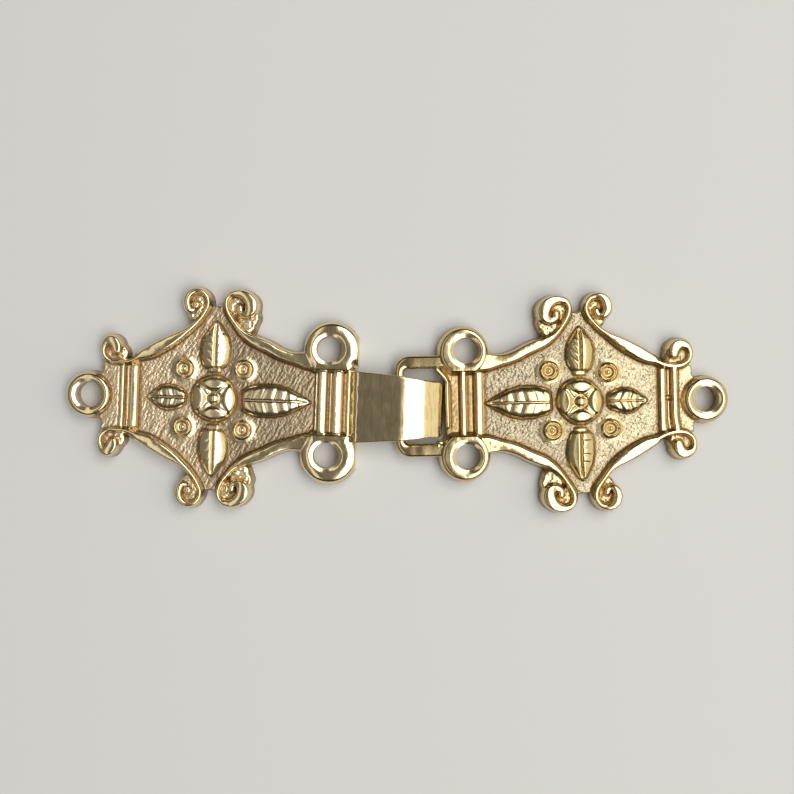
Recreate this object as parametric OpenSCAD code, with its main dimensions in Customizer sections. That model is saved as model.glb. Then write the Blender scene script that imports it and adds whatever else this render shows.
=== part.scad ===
// Hook and eye clasp of two cast halves that mirror each other.
// The halves lie fastened and face up, with their flat backs on Z = 0.
// A half is drawn in its own frame: origin under the centre of its boss,
// +X towards the other half, +Z out of the face. Millimetres and degrees.

/* [Plate] */
// Thickness of the plate under the sunken field
plate_t = 1.3; // [1:0.05:1.8]
// Boss centre to the sewing hole at the outer end
span_out = 12.45; // [11.8:0.05:14]
// Boss centre to the two sewing holes at the inner end
span_in = 11.35; // [10.8:0.05:12.5]
// Boss centre to the inner edge, where the strap or the loop starts
edge_in = 13.5; // [13.2:0.05:14.5]
// Boss centre line to the centres of the side scrolls
span_side = 9.15; // [8.6:0.05:10.5]

/* [Sewing rings] */
// Radius of every sewing hole
hole_r = 1.3; // [1:0.05:1.45]
// Wall of a ring at its foot
ring_wall = 1.05; // [0.85:0.05:1.3]
// Height of the rings
ring_h = 2.2; // [1.9:0.05:2.7]
// Bevel at the upper mouth of a hole
hole_bevel = 0.3; // [0.1:0.05:0.4]
// Slant of the cast walls, from foot to top
draft = 0.28; // [0.1:0.02:0.4]
// Half the distance between the two inner sewing holes
ring_spread = 5.3; // [5.1:0.05:5.8]

/* [Rails and scrolls] */
// Height of the border rails above the field
rail_rise = 0.75; // [0.4:0.05:1.1]
// Height of the scroll bands above the field
scroll_rise = 0.95; // [0.5:0.05:1.3]
// Radius at the foot of the four side scrolls
scroll_r = 1.68; // [1.5:0.02:1.85]
// Radius at the foot of the two end scrolls
end_scroll_r = 1.45; // [1.25:0.02:1.6]
// Distance from the centre line to a side scroll's centre, along X
scroll_offset = 2.3; // [2.1:0.05:2.6]
// Boss centre to the centres of the end scrolls, along X
end_scroll_x = 9.85; // [9.5:0.05:10.4]
// Centre line to the centres of the end scrolls, along Y
end_scroll_y = 4.75; // [4.5:0.05:5.1]
// Width of a scroll's band where it leaves the rail
band_w = 0.5; // [0.3:0.05:0.6]

/* [Bars and blocks] */
// Height of the two end blocks above the field
block_rise = 0.55; // [0.3:0.05:0.8]
// Half width of the blocks between the rails
block_half_w = 3.3; // [3:0.05:3.5]
// Boss centre to where the inner block starts
block_in = 9.95; // [9.8:0.05:10.2]
// Boss centre to where the outer block starts
block_out = 7.5; // [7.2:0.05:7.8]
// Radius of the wide ridge bars
bar_wide_r = 0.5; // [0.35:0.05:0.6]
// Radius of the narrow ridge bar next to the end ring
bar_narrow_r = 0.36; // [0.25:0.02:0.45]
// How far the bars stand out of their blocks
bar_rise = 0.4; // [0.2:0.05:0.5]

/* [Boss, leaves and dots] */
// Radius of the boss
boss_r = 2.4; // [2.2:0.05:2.6]
// Height of the boss above the field, at the crown of its petals
boss_rise = 1.25; // [0.9:0.05:1.6]
// Step from the petals down to the diagonals between them
petal_step = 0.22; // [0.1:0.02:0.35]
// Radius of the small dome at the centre
pearl_r = 0.95; // [0.8:0.05:1.05]
// Height of the leaves above the field
leaf_rise = 0.75; // [0.5:0.05:1]
// Half width of the two side leaves
side_leaf_w = 1.65; // [1.4:0.05:1.8]
// Half width of the long leaf
long_leaf_w = 1.8; // [1.5:0.05:2]
// Half width of the small bud leaf
bud_leaf_w = 1.4; // [1.2:0.05:1.6]
// Offset of the four dots from the boss centre, along X and along Y
dot_offset = 2.97; // [2.9:0.01:3.1]
// Radius of a dot's mound
dot_r = 1.2; // [1:0.05:1.25]
// Height of a dot's rim above the field
dot_rise = 0.7; // [0.4:0.05:0.9]

/* [Hook strap] */
// Reach of the strap's nose beyond the inner edge
hook_reach = 9.2; // [8.8:0.05:10]
// Thickness of the strap
strap_t = 1; // [0.8:0.05:1.2]
// Half width of the strap at its root
strap_root_w = 3.55; // [3.2:0.05:3.6]
// Half width of the strap over the bar
strap_mid_w = 3.25; // [2.8:0.05:3.35]
// Half width of the strap at its nose
strap_nose_w = 2.75; // [2.3:0.05:2.9]
// Thickness of the lip that returns under the loop's bar
lip_t = 0.7; // [0.5:0.05:0.8]
// Length of the lip, from the nose back to its tip
lip_len = 3.1; // [2.4:0.05:3.4]

/* [Eye loop] */
// Length of the loop beyond the inner edge
loop_len = 5.05; // [4.8:0.05:5.4]
// Half width of the loop outside
loop_half_w = 5; // [4.95:0.05:5.2]
// Width of the loop's arms
arm_w = 1.2; // [1:0.05:1.25]
// Diameter of the loop's bar
bar_d = 0.96; // [0.8:0.02:1.05]
// Height of the bar's centre line
bar_z = 1.45; // [1.35:0.02:1.6]

/* [Fastened] */
// Gap between the bar and the strap above it
hook_gap = 0.18; // [0.15:0.01:0.3]
// Gap between the strap's nose and the eye half
nose_gap = 0.35; // [0.3:0.01:0.5]
// Turn of the hook half as it lies
hook_turn = -2; // [-2.5:0.1:0]
// Turn of the eye half as it lies
eye_turn = 1.15; // [0:0.05:1.5]
// Sideways place of the hook half's boss as it lies
hook_shift = 0.2; // [0:0.05:0.3]
// Sideways place of the eye half's boss as it lies
eye_shift = -0.1; // [-0.2:0.05:0]
// Sideways place of the strap on its half
strap_shift = -0.35; // [-0.4:0.05:0]
// Sideways place of the loop on its half
loop_shift = -0.17; // [-0.3:0.01:0]

/* [Hidden] */
$fn = 48;

gold = "#c9ae6b";
pale_gold = "#d2ba7c";
sunk = 0.2; // how deep relief is rooted in the plate
over = 1; // how far a cutter runs past what it cuts
curve_steps = 14;

rail_z = plate_t + rail_rise;
scroll_z = plate_t + scroll_rise;
block_z = plate_t + block_rise;
out_block_z = plate_t + block_rise * 0.6;
ring_r = hole_r + ring_wall;
boss_to_boss = 2 * edge_in + hook_reach + nose_gap;
bar_inset = 0.05; // how far the arms stand proud of the bar
bar_x = edge_in + loop_len - bar_d / 2 - bar_inset;
bar_from_hook = boss_to_boss - bar_x;
nose_x = edge_in + hook_reach;
strap_under_z = bar_z + bar_d / 2 + hook_gap;
strap_top_z = strap_under_z + strap_t;

// Rail edges as curves, each with four control points.
// Columns: share of the span along X, share of span_side along Y.
outer_rail_rim = [[-0.74, 0.405], [-0.53, 0.546], [-0.37, 0.721], [-0.2, 0.85]];
outer_rail_foot = [[-0.74, 0.372], [-0.45, 0.385], [-0.313, 0.61], [-0.095, 0.86]];
inner_rail_rim = [[0.26, 0.8], [0.43, 0.655], [0.6, 0.552], [0.82, 0.53]];
inner_rail_foot = [[0.1, 0.86], [0.238, 0.58], [0.53, 0.46], [0.89, 0.34]];

// Point on a curve of four control points
function bend(p, t) =
  pow(1 - t, 3) * p[0] + 3 * t * pow(1 - t, 2) * p[1] + 3 * t * t * (1 - t) * p[2] + pow(t, 3) * p[3];
// Points of a rail edge, at real size
function edge(shares, span) =
  [for (i = [0:curve_steps]) let (p = bend(shares, i / curve_steps)) [p[0] * span, p[1] * span_side]];
function backward(list) = [for (i = [len(list) - 1:-1:0]) list[i]];
function flip_y(list) = [for (p = list) [p[0], -p[1]]];
function middle(a, b) = [for (i = [0:len(a) - 1]) (a[i] + b[i]) / 2];
// Points on an arc of an ellipse around c
function oval(c, rx, rz, from, to, steps) =
  [for (i = [0:steps]) let (a = from + (to - from) * i / steps) [c[0] + rx * cos(a), c[1] + rz * sin(a)]];

outer_rim = edge(outer_rail_rim, span_out);
outer_foot = edge(outer_rail_foot, span_out);
inner_rim = edge(inner_rail_rim, span_in);
inner_foot = edge(inner_rail_foot, span_in);

// Draws its children on both sides of the centre line
module both_sides() {
  children();
  mirror([0, 1, 0]) children();
}

// The sunken field's plate, up to the middle of the rails
module field() {
  crest = concat(middle(outer_rim, outer_foot), middle(inner_rim, inner_foot));
  side = concat([[-block_out - sunk, block_half_w]], crest, [[block_in + sunk, block_half_w]]);
  linear_extrude(plate_t) polygon(concat(side, backward(flip_y(side))));
  both_sides() translate([-scroll_offset, 0, 0])
    cube([2 * scroll_offset, span_side - 0.05, plate_t + 0.02]);
}

// A raised band between two edges
module rail(rim, foot) {
  linear_extrude(rail_z) polygon(concat(rim, backward(foot)));
}

// A drafted foot, a band that winds inwards on it, and a pearl in its eye
module scroll(r, start, turn) {
  cylinder(h = plate_t + scroll_rise * 0.45, r1 = r, r2 = r - draft);
  steps = 20;
  band = [for (i = [0:steps]) let (t = i / steps) [start + turn * t, (r - draft * 0.8) * (1 - 0.32 * t)]];
  outside = [for (b = band) b[1] * [cos(b[0]), sin(b[0])]];
  inside = [for (b = band) (b[1] - band_w) * [cos(b[0]), sin(b[0])]];
  linear_extrude(scroll_z) polygon(concat(outside, backward(inside)));
  translate([0, 0, plate_t + scroll_rise * 0.4]) sphere(r = r * 0.34);
}

module ring_body() {
  cylinder(h = ring_h, r1 = ring_r, r2 = ring_r - draft);
}

// Cuts a sewing hole with a bevel at its upper mouth
module sewing_hole() {
  past = 0.1;
  translate([0, 0, -over]) cylinder(h = ring_h + 2 * over, r = hole_r);
  translate([0, 0, ring_h - hole_bevel - past])
    cylinder(h = hole_bevel + 2 * past, r1 = hole_r - past, r2 = hole_r + hole_bevel + past);
}

// A half-round ridge across the plate
module ridge_bar(x, r, base_z, half_len) {
  translate([x, 0, base_z + bar_rise - r]) rotate([90, 0, 0])
    cylinder(h = 2 * half_len, r = r, center = true);
}

// The inner block with its two wide bars
module inner_block() {
  bar_xs = [0.18, 0.59]; // shares of the block's length
  length = edge_in - block_in;
  translate([block_in, -block_half_w, 0]) cube([length, 2 * block_half_w, block_z]);
  for (s = bar_xs) ridge_bar(block_in + s * length, bar_wide_r, block_z, block_half_w - 0.2);
}

// The outer block, which carries the end scrolls, tapers to the end ring and has two bars
module outer_block() {
  bite = 0.25; // how far the block reaches under an end scroll
  half_w = end_scroll_y - end_scroll_r + bite;
  neck = ring_r * 0.87;
  shoulder_x = -end_scroll_x - end_scroll_r * 0.75;
  side = [
    [-block_out, half_w],
    [shoulder_x, half_w],
    [shoulder_x - bite, neck + 0.4],
    [-span_out, neck]
  ];
  wide_x = -block_out - bar_wide_r - 0.07;
  narrow_x = wide_x - bar_wide_r - bar_narrow_r - 0.27;
  linear_extrude(out_block_z) polygon(concat(side, backward(flip_y(side))));
  ridge_bar(wide_x, bar_wide_r, out_block_z, block_half_w - 0.1);
  ridge_bar(narrow_x, bar_narrow_r, out_block_z, block_half_w - 0.1);
}

// Domed boss: four raised petals, lower diagonals and a pearl
module boss() {
  dome_sag = boss_rise * 0.8;
  dome_r = (boss_r * boss_r + dome_sag * dome_sag) / (2 * dome_sag);
  petal_in = pearl_r + 0.08;
  tip = boss_r * cos(45);
  petal_r = (pow(tip - petal_in, 2) + tip * tip) / (2 * (tip - petal_in));
  dome_z = plate_t + boss_rise - dome_r;
  intersection() {
    translate([0, 0, dome_z]) sphere(r = dome_r);
    translate([0, 0, plate_t - sunk]) linear_extrude(boss_rise + over) intersection() {
      circle(r = boss_r);
      union() for (a = [0:90:270]) rotate(a) translate([petal_in + petal_r, 0]) circle(r = petal_r);
    }
  }
  intersection() {
    translate([0, 0, dome_z - petal_step]) sphere(r = dome_r);
    translate([0, 0, plate_t - sunk]) cylinder(h = boss_rise + over, r = boss_r - 0.04);
  }
  translate([0, 0, plate_t + boss_rise - pearl_r * 0.6]) sphere(r = pearl_r);
}

// An arched leaf with a groove along its middle: blunt at the boss, pointed at tip_x
module leaf(tip_x, half_w, gap) {
  hidden_end = 0.9; // how far the full outline would reach in under the gap
  base_x = boss_r + gap - hidden_end;
  half_l = (tip_x - base_x) / 2;
  side_r = (half_l * half_l + half_w * half_w) / (2 * half_w);
  arch_sag = leaf_rise * 0.7;
  arch_r = (half_w * half_w + arch_sag * arch_sag) / (2 * arch_sag);
  top_z = plate_t + leaf_rise;
  rib = 0.3;
  difference() {
    translate([base_x + half_l, 0, 0]) intersection() {
      translate([0, 0, plate_t - sunk]) linear_extrude(leaf_rise + over) intersection() {
        translate([0, side_r - half_w]) circle(r = side_r);
        translate([0, half_w - side_r]) circle(r = side_r);
      }
      translate([0, 0, top_z - arch_r]) rotate([0, 90, 0]) cylinder(h = 3 * half_l, r = arch_r, center = true);
    }
    translate([base_x + half_l, 0, top_z + 0.06]) rotate([45, 0, 0]) cube([3 * half_l, rib, rib], center = true);
    cylinder(h = plate_t + leaf_rise + over, r = boss_r + gap);
  }
}

// A mound that carries a rimmed cup with a pip in it
module dot() {
  rim_r = dot_r * 0.72;
  cup_r = dot_r * 0.52;
  translate([0, 0, plate_t - sunk]) cylinder(h = dot_rise * 0.65 + sunk, r1 = dot_r, r2 = dot_r * 0.82);
  translate([0, 0, plate_t]) difference() {
    cylinder(h = dot_rise, r = rim_r);
    translate([0, 0, dot_rise * 0.6]) cylinder(h = over, r = cup_r);
  }
  translate([0, 0, plate_t + dot_rise * 0.62]) sphere(r = dot_r * 0.27);
}

// All relief that stands on the field
module relief() {
  boss();
  gap = 0.4; // between the boss and the leaves
  bud_gap = 0.75; // between the bud leaf's tip and the outer block
  side_gap = 1.3; // between a side leaf's tip and the line of the side scrolls
  leaf(block_in - 0.1, long_leaf_w, gap);
  mirror([1, 0, 0]) leaf(block_out - bud_gap, bud_leaf_w, gap);
  both_sides() rotate(90) leaf(span_side - side_gap, side_leaf_w, gap);
  for (x = [-dot_offset, dot_offset]) both_sides() translate([x, dot_offset, 0]) dot();
}

// What both halves share, still without the sewing holes
module half_body() {
  start = -75; // where the side scrolls' bands leave the rails
  end_start = -120; // where the end scrolls' bands do
  wind = 335; // how far the bands wind round
  field();
  inner_block();
  outer_block();
  relief();
  translate([-span_out, 0, 0]) ring_body();
  both_sides() {
    rail(outer_rim, outer_foot);
    rail(inner_rim, inner_foot);
    translate([span_in, ring_spread, 0]) ring_body();
    translate([-scroll_offset, span_side, 0]) scroll(scroll_r, start, wind);
    translate([scroll_offset, span_side, 0]) mirror([1, 0, 0]) scroll(scroll_r, start, wind);
    translate([-end_scroll_x, end_scroll_y, 0]) mirror([1, 0, 0]) scroll(end_scroll_r, end_start, wind);
  }
}

module all_holes() {
  translate([-span_out, 0, 0]) sewing_hole();
  both_sides() translate([span_in, ring_spread, 0]) sewing_hole();
}

// The strap's side view: flat over the bar, bent down at the nose, lip turned back under
module strap_profile() {
  root_x = edge_in - 0.75;
  root_top = block_z + strap_t * 0.8;
  bend_x = bar_from_hook;
  lip_bottom = 0.05; // the lip stays just clear of the plane that the clasp lies on
  nose_z = lip_bottom + lip_t + 0.57;
  turn_x = nose_x - 1.5;
  top = oval([bend_x, nose_z], nose_x - bend_x, strap_top_z - nose_z, 90, 0, 14);
  heel = oval([turn_x, nose_z], nose_x - turn_x, nose_z - lip_bottom, -8, -90, 8);
  tip = oval([nose_x - lip_len, lip_bottom + lip_t / 2], lip_t / 2, lip_t / 2, -90, -270, 6);
  heel_in = oval([turn_x, nose_z], nose_x - turn_x - strap_t * 0.8, nose_z - lip_bottom - lip_t, -90, -8, 6);
  under = oval([bend_x, nose_z], nose_x - bend_x - strap_t * 0.8, strap_under_z - nose_z, 0, 90, 12);
  root = [[root_x, root_top - strap_t], [root_x, root_top - 0.25], [root_x + 0.3, root_top]];
  polygon(concat(top, heel, tip, heel_in, under, root));
}

// The strap from above: tapered, with a rounded nose
module strap_plan() {
  nose_round = 0.9;
  side = [
    [block_in, strap_root_w],
    [edge_in + 0.4, strap_root_w],
    [bar_from_hook, strap_mid_w],
    [nose_x - nose_round, strap_nose_w]
  ];
  nose = oval([nose_x - nose_round, 0], nose_round + 0.01, strap_nose_w, 75, -75, 12);
  polygon(concat(side, nose, backward(flip_y(side))));
}

module hook_strap() {
  full_w = 2 * (max(strap_root_w, strap_mid_w, strap_nose_w) + over);
  translate([0, strap_shift, 0]) intersection() {
    rotate([90, 0, 0]) linear_extrude(full_w, center = true) strap_profile();
    translate([0, 0, -over]) linear_extrude(strap_top_z + 2 * over) strap_plan();
  }
}

// The loop: two arms with rounded outer corners, joined by a round bar
module eye_loop() {
  root_x = edge_in - 1;
  far_x = edge_in + loop_len;
  corner = 0.8;
  arm_half_h = bar_d / 2 + bar_inset;
  gap_half_w = loop_half_w - arm_w;
  side = concat(
    [[root_x, loop_half_w]],
    oval([far_x - corner, loop_half_w - corner], corner, corner, 90, 0, 6)
  );
  translate([0, loop_shift, 0]) {
    difference() {
      translate([0, 0, bar_z - arm_half_h]) linear_extrude(2 * arm_half_h)
        polygon(concat(side, backward(flip_y(side))));
      translate([root_x - over, -gap_half_w, 0])
        cube([far_x - root_x + 2 * over, 2 * gap_half_w, bar_z * 2]);
    }
    translate([bar_x, 0, bar_z]) rotate([90, 0, 0])
      cylinder(h = 2 * (gap_half_w + arm_w / 2), r = bar_d / 2, center = true);
  }
}

// Places a half that lies to the left, or mirrored to the right
module hook_side() {
  translate([-boss_to_boss / 2, hook_shift, 0]) rotate(hook_turn) children();
}

module eye_side() {
  translate([boss_to_boss / 2, eye_shift, 0]) rotate(eye_turn) mirror([1, 0, 0]) children();
}

module hook_half() {
  color(gold) hook_side() difference() {
    union() {
      half_body();
      hook_strap();
    }
    all_holes();
  }
}

module eye_half() {
  color(pale_gold) eye_side() difference() {
    union() {
      half_body();
      eye_loop();
    }
    all_holes();
  }
}

hook_half();
eye_half();
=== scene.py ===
import math

import bpy
import numpy as np
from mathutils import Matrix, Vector
from mathutils.geometry import delaunay_2d_cdt


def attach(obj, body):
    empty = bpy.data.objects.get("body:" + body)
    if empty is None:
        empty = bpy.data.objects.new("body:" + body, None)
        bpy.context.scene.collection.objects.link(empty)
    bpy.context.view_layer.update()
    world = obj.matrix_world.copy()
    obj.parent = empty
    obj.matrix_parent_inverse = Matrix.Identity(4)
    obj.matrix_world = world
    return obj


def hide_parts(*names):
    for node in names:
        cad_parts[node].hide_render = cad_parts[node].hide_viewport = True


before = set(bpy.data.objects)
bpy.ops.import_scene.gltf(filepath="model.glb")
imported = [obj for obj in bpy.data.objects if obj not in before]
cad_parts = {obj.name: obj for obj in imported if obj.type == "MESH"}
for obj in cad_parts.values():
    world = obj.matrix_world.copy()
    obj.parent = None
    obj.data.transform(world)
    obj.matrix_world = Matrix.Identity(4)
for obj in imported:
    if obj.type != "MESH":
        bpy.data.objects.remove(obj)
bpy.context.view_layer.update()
print("frame loaded:", sorted(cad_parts))

mm = 0.001

# Where the halves lie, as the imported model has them
places = {
    "hook": {"origin": (-18.275, 0.2), "turn": -2.0, "mirrored": False},
    "eye": {"origin": (18.275, -0.1), "turn": 1.15, "mirrored": True},
}

camera = {"height": 115.0, "lens": 51.5, "aim": (-0.01, 0.35)}


def addCamera():
    data = bpy.data.cameras.new("camera")
    data.lens = camera["lens"]
    data.sensor_width = 36.0
    data.clip_start = 0.005
    data.clip_end = 5.0
    cam = bpy.data.objects.new("camera", data)
    cam.location = (camera["aim"][0] * mm, camera["aim"][1] * mm, camera["height"] * mm)
    bpy.context.scene.collection.objects.link(cam)
    bpy.context.scene.camera = cam


addCamera()


# Small helpers for the relief


def smooth(a, b, x):
    t = np.clip((x - a) / (b - a), 0.0, 1.0)
    return t * t * (3 - 2 * t)


def softMax(a, b, k):
    h = np.clip(0.5 + 0.5 * (a - b) / k, 0.0, 1.0)
    return b + (a - b) * h + k * h * (1 - h)


def softMin(a, b, k):
    return -softMax(-a, -b, k)


def dome(t, power=2.0, fall=0.5):
    return np.clip(1.0 - np.clip(np.abs(t), 0, 1) ** power, 0, 1) ** fall


def valueNoise(x, y, size, seed):
    # smooth noise between -1 and 1, with bumps of about that size
    cells = 97
    table = np.random.default_rng(seed).uniform(-1, 1, (cells, cells))
    gx, gy = x / size + 40.3, y / size + 37.7
    ix, iy = np.floor(gx).astype(int), np.floor(gy).astype(int)
    fx, fy = gx - ix, gy - iy
    fx, fy = fx * fx * (3 - 2 * fx), fy * fy * (3 - 2 * fy)
    a, b, c, d = [table[(ix + i) % cells, (iy + j) % cells] for j in (0, 1) for i in (0, 1)]
    return (a * (1 - fx) + b * fx) * (1 - fy) + (c * (1 - fx) + d * fx) * fy


def layeredNoise(u, v, seed, layers):
    # layers: height, size of the bumps, what is added to the seed
    return sum(height * valueNoise(u, v, size, seed + k) for height, size, k in layers)


def gridPoints(us, vs):
    gu, gv = np.meshgrid(us, vs, indexing="ij")
    return gu.ravel(), gv.ravel()


def splinePath(rows, steps=6):
    # smooth line through table rows; the columns after the first two ride along
    p = np.array(rows, float)
    p = np.vstack([2 * p[0] - p[1], p, 2 * p[-1] - p[-2]])
    out = []
    for i in range(1, len(p) - 2):
        for s in range(steps):
            t = s / steps
            out.append(
                0.5
                * (
                    2 * p[i]
                    + (p[i + 1] - p[i - 1]) * t
                    + (2 * p[i - 1] - 5 * p[i] + 4 * p[i + 1] - p[i + 2]) * t * t
                    + (3 * p[i] - p[i - 1] - 3 * p[i + 1] + p[i + 2]) * t**3
                )
            )
    out.append(p[-2])
    return np.array(out)


def bandAlong(u, v, path, flank=0.3, crown=0.06):
    # a band with a nearly flat top and sloping flanks; path rows are u, v, half width, height
    # gives how far inside the band's top edge each point is, and the height there
    inside, height = np.full_like(u, -9.0), np.zeros_like(u)
    for a, b in zip(path[:-1], path[1:]):
        w = max(a[2], b[2]) + flank
        near = np.nonzero(
            (u > min(a[0], b[0]) - w)
            & (u < max(a[0], b[0]) + w)
            & (v > min(a[1], b[1]) - w)
            & (v < max(a[1], b[1]) + w)
        )[0]
        if not len(near):
            continue
        du, dv = b[0] - a[0], b[1] - a[1]
        t = ((u[near] - a[0]) * du + (v[near] - a[1]) * dv) / max(du * du + dv * dv, 1e-9)
        t = np.clip(t, 0, 1)
        d = np.hypot(u[near] - a[0] - t * du, v[near] - a[1] - t * dv)
        half = a[2] + t * (b[2] - a[2])
        rise = a[3] + t * (b[3] - a[3])
        h = rise * smooth(-flank, 0.06, half - d) * (1 - crown * np.clip(d / half, 0, 1) ** 2)
        inside[near] = np.maximum(inside[near], half - d)
        height[near] = np.maximum(height[near], h)
    return inside, height


def discInside(u, v, cu, cv, r):
    return r - np.hypot(u - cu, v - cv)


def polygonInside(u, v, corners):
    # signed distance to a closed polygon, positive inside
    corners = np.array(corners, float)
    best = np.full(u.shape, 1e9)
    sign = np.ones(u.shape)
    for a, b in zip(corners, np.roll(corners, -1, axis=0)):
        du, dv = b - a
        t = np.clip(((u - a[0]) * du + (v - a[1]) * dv) / (du * du + dv * dv), 0, 1)
        best = np.minimum(best, (u - a[0] - t * du) ** 2 + (v - a[1] - t * dv) ** 2)
        crosses = ((a[1] > v) != (b[1] > v)) & (
            (u - a[0]) * dv < (v - a[1]) * du
            if dv > 0
            else (u - a[0]) * dv > (v - a[1]) * du
        )
        sign = np.where(crosses, -sign, sign)
    return -sign * np.sqrt(best)


# What both castings share. Tables are for the upper side (v > 0) of a half.

plate = {
    "field": 1.3, "shelf": 1.6, "roundEdge": 0.16, "flank": 0.2, "draft": 0.1, "fillet": 0.2,
    "grooveDepth": 0.1,
    "wallStages": [0.12, 0.3, 0.5, 0.7, 0.88, 1.0],
    # unevenness: height, size of the bumps, added to the seed
    "outlineWaves": [(0.03, 0.9, 0), (0.045, 2.3, 1)],
    "skin": [(0.014, 0.3, 5), (0.02, 0.8, 6)],
    "shelfGrain": [(0.05, 0.22, 12)],
    "swell": [(0.014, 1.7, 8), (0.006, 0.45, 9)],
}

rings = {
    "centres": [(-12.45, 0.0), (11.35, 5.3), (11.35, -5.3)],
    "hole": 1.3, "top": 2.26, "mouth": 0.36, "mouthDrop": 0.12, "blockEdge": 3.12,
    "shoulderDrop": 0.2, "rollFrom": 0.2, "rollWidth": 0.4, "rollDrop": 0.5,
}

# upper outline of the plate, from the end ring to the strap or the loop
plateEdge = [
    (-12.45, 1.2), (-11.9, 1.6), (-11.05, 2.3), (-11.0, 3.2), (-10.2, 3.4),
    (-8.2, 3.4), (-7.6, 3.7), (-6.75, 4.5), (-5.75, 5.2),
    (-4.75, 5.8), (-3.8, 6.2), (-2.95, 6.65), (-2.4, 7.3), (-1.6, 8.4),
    (-1.0, 9.0), (0.0, 8.95), (1.0, 9.0), (1.6, 8.4), (2.4, 7.3),
    (2.95, 6.6), (3.75, 6.15), (5.2, 5.6), (6.25, 5.1), (7.3, 4.7),
    (8.2, 4.6), (9.2, 4.8), (10.2, 5.1), (11.35, 5.4), (13.0, 4.6), (13.6, 3.4),
]

# rows: u, v, half width, height over the field
outerRail = [
    (-7.4, 4.05, 0.32, 0.76), (-6.6, 4.4, 0.48, 0.8), (-5.9, 4.78, 0.52, 0.86),
    (-5.0, 5.3, 0.5, 0.88), (-4.3, 5.72, 0.44, 0.87), (-3.6, 6.15, 0.34, 0.85),
    (-3.0, 6.6, 0.24, 0.83), (-2.4, 7.15, 0.18, 0.81), (-1.8, 7.85, 0.16, 0.8),
]
innerRail = [
    (10.4, 4.2, 0.85, 0.84), (9.3, 4.15, 0.75, 0.84), (8.1, 4.28, 0.5, 0.84),
    (7.3, 4.42, 0.44, 0.86), (6.27, 4.77, 0.44, 0.88), (5.25, 5.3, 0.45, 0.88),
    (4.4, 5.65, 0.44, 0.87), (3.6, 5.98, 0.4, 0.85), (2.9, 6.4, 0.3, 0.83),
    (2.3, 6.95, 0.21, 0.81), (1.8, 7.6, 0.17, 0.8),
]

# Scroll bands have the same rows: side bands from the gap between the scrolls over the top and
# down into the curl, end bands from the rail round the corner into the curl
scrollsHook = {
    "outerBand": [
        (-1.35, 8.55, 0.155, 0.82), (-1.07, 9.2, 0.16, 0.87), (-1.13, 9.85, 0.17, 0.91),
        (-1.5, 10.38, 0.19, 0.95), (-2.1, 10.6, 0.21, 0.98), (-2.7, 10.45, 0.25, 1.0),
        (-3.1, 10.0, 0.28, 1.0), (-3.2, 9.4, 0.28, 0.98), (-3.05, 8.85, 0.26, 0.92),
        (-2.7, 8.62, 0.2, 0.76), (-2.42, 8.85, 0.2, 0.75), (-2.32, 9.2, 0.34, 0.86),
    ],
    "innerBand": [
        (1.25, 8.4, 0.16, 0.82), (1.0, 9.1, 0.16, 0.86), (1.0, 9.75, 0.17, 0.9),
        (1.3, 10.22, 0.2, 0.95), (1.85, 10.45, 0.25, 1.0), (2.5, 10.4, 0.36, 1.06),
        (3.1, 10.05, 0.48, 1.12), (3.48, 9.5, 0.56, 1.15), (3.5, 8.95, 0.52, 1.1),
        (3.2, 8.52, 0.4, 1.0), (2.75, 8.42, 0.3, 0.9), (2.4, 8.7, 0.26, 0.86),
        (2.35, 9.05, 0.25, 0.9),
    ],
    "endBand": [
        (-7.98, 3.66, 0.19, 0.72), (-8.67, 3.38, 0.16, 0.7), (-9.37, 3.31, 0.15, 0.7),
        (-10.27, 3.38, 0.15, 0.72), (-10.89, 3.76, 0.16, 0.76), (-11.13, 4.3, 0.18, 0.8),
        (-11.03, 4.95, 0.24, 0.86), (-10.64, 5.42, 0.38, 0.92), (-10.2, 5.36, 0.5, 0.96),
        (-9.88, 4.92, 0.48, 0.96), (-9.76, 4.5, 0.36, 0.88),
    ],
    # u, v, radius
    "shelves": [
        (-2.3, 8.3, 0.6), (-2.15, 9.5, 0.8), (2.3, 9.35, 1.0),
        (3.15, 8.15, 0.98), (3.2, 7.35, 0.62), (-9.5, 4.3, 0.55), (-10.3, 4.5, 0.7),
    ],
}
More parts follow.
